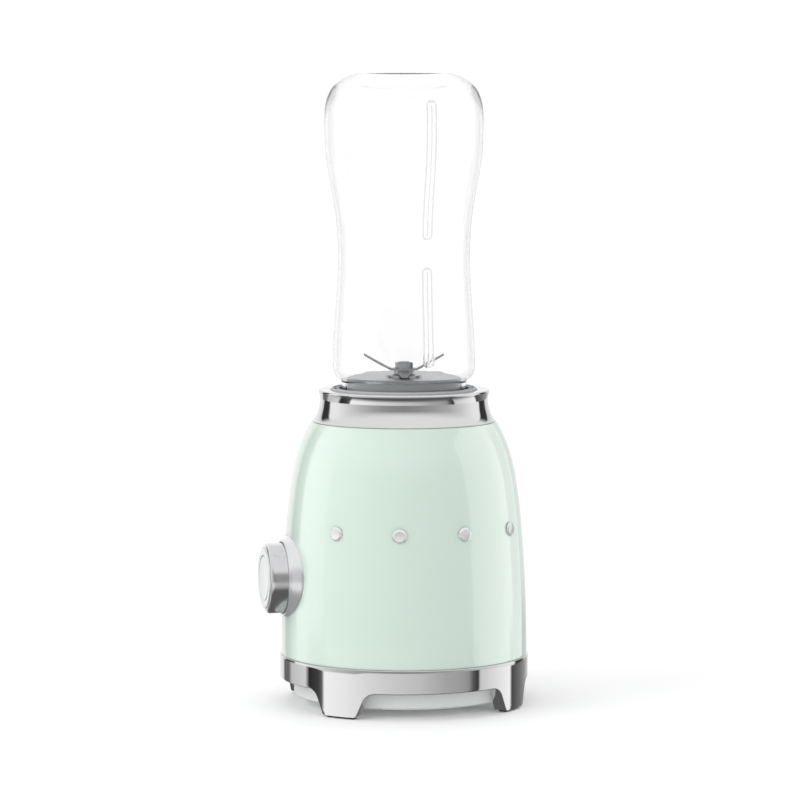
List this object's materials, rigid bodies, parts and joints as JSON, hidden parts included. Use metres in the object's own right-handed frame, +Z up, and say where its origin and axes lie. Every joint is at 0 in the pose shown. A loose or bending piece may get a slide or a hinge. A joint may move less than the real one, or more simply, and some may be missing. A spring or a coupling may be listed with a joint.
{
  "type": "countertop blender",
  "caption": "Personal countertop blender: round motor base with a side knob, metal legs and collar, and an inverted clear bottle screwed to a twist-lock blade base.",
  "frame": {"origin": "on the table under the feet, on the axis that the base, the motor and the bottle share", "axes": "+Z up along the motor and bottle axis, -Y towards the knob at the front, +Y towards the cord inlet at the back, +X to the right seen from the front"},
  "size_m": [0.14, 0.1508, 0.3534],
  "materials": {
    "mint_enamel": "glossy enamel",
    "polished_aluminium": "polished cast",
    "satin_aluminium": "satin",
    "chrome_plate": "polished",
    "grey_plastic": "fine moulded grain",
    "seat_plastic": "fine moulded grain",
    "clear_bottle": "clear",
    "stainless": "brushed",
    "steel": "zinc plated",
    "rubber_black": "moulded",
    "rubber_grey": "moulded silicone",
    "black_plastic": "moulded",
    "die_cast": "as cast",
    "copper_wire": "enamelled copper",
    "bronze": "sintered",
    "carbon": "pressed carbon",
    "circuit_board": "coated laminate"
  },
  "bodies": {
    "base": {"base_ring": "polished_aluminium", "rubber_feet": "rubber_black", "bottom_cover": "grey_plastic", "cover_screws": "steel", "cord_bush": "rubber_black", "cord_clamp": "black_plastic", "clamp_screws": "steel", "chassis_plate": "black_plastic", "shell": "mint_enamel", "shell_screws": "steel", "trim_studs": "chrome_plate", "collar": "polished_aluminium", "bottle_seat": "seat_plastic", "seat_screws": "steel", "interlock_bracket": "black_plastic", "microswitch": "black_plastic", "knob_bezel": "satin_aluminium", "rotary_switch": "black_plastic", "switch_nut": "steel", "motor_mounts": "rubber_black", "lower_end_bell": "die_cast", "stator_core": "steel", "field_coils": "copper_wire", "upper_end_bell": "die_cast", "motor_bolts": "steel", "lower_bearing": "steel", "upper_bearing": "steel", "brush_holders": "black_plastic", "carbon_brushes": "carbon", "brush_springs": "steel", "control_board": "circuit_board", "board_components": "black_plastic"},
    "rotor": {"motor_shaft": "steel", "armature_core": "steel", "armature_windings": "copper_wire", "commutator": "copper_wire", "cooling_fan": "black_plastic", "drive_coupling": "black_plastic"},
    "knob": {"knob_body": "chrome_plate", "knob_face": "satin_aluminium", "switch_shaft": "black_plastic"},
    "twist_ring": {"lock_ring": "grey_plastic"},
    "interlock": {"interlock_pin": "black_plastic", "switch_button": "black_plastic", "interlock_spring": "steel"},
    "blade_unit": {"blade_base": "seat_plastic", "blade_plate": "stainless", "blade_bushes": "bronze", "blade_seal": "rubber_grey"},
    "blade_rotor": {"blade_shaft": "stainless", "lower_blade": "stainless", "upper_blade": "stainless", "blade_washer": "stainless", "blade_nut": "stainless", "driven_coupling": "black_plastic"},
    "gasket": {"neck_gasket": "rubber_grey"},
    "bottle_body": {"bottle": "clear_bottle"}
  },
  "joints": [
    {"name": "motor_spin", "type": "hinge", "parent": "base", "child": "rotor", "pos_m": [0, 0, 0.1], "axis": [0, 0, 1], "continuous": true},
    {"name": "knob_turn", "type": "hinge", "parent": "base", "child": "knob", "pos_m": [0, -0.07, 0.0722], "axis": [0, 1, 0], "range_deg": [-30, 90]},
    {"name": "lock_turn", "type": "hinge", "parent": "base", "child": "twist_ring", "pos_m": [0, 0, 0.1615], "axis": [0, 0, -1], "range_deg": [0, 22]},
    {"name": "interlock_push", "type": "slide", "parent": "base", "child": "interlock", "axis": [0, 0, -1], "range_m": [0, 0.0025], "deforming": ["interlock_spring"]},
    {"name": "bottle_lift", "type": "slide", "parent": "twist_ring", "child": "blade_unit", "axis": [0, 0, 1], "range_m": [0, 0.07]},
    {"name": "blade_spin", "type": "hinge", "parent": "blade_unit", "child": "blade_rotor", "pos_m": [0, 0, 0.18], "axis": [0, 0, 1], "continuous": true},
    {"name": "neck_lift", "type": "slide", "parent": "blade_unit", "child": "gasket", "axis": [0, 0, 1], "range_m": [0, 0.015]},
    {"name": "bottle_unscrew", "type": "hinge", "parent": "gasket", "child": "bottle_body", "pos_m": [0, 0, 0.18], "axis": [0, 0, 1], "range_deg": [0, 360]}
  ],
  "couplings": [
    {"joint": "blade_spin", "follows": "motor_spin", "ratio": 1},
    {"joint": "interlock_push", "follows": "lock_turn", "m_per_rad": 0.00651},
    {"joint": "neck_lift", "follows": "bottle_unscrew", "m_per_rad": 0.002387}
  ]
}
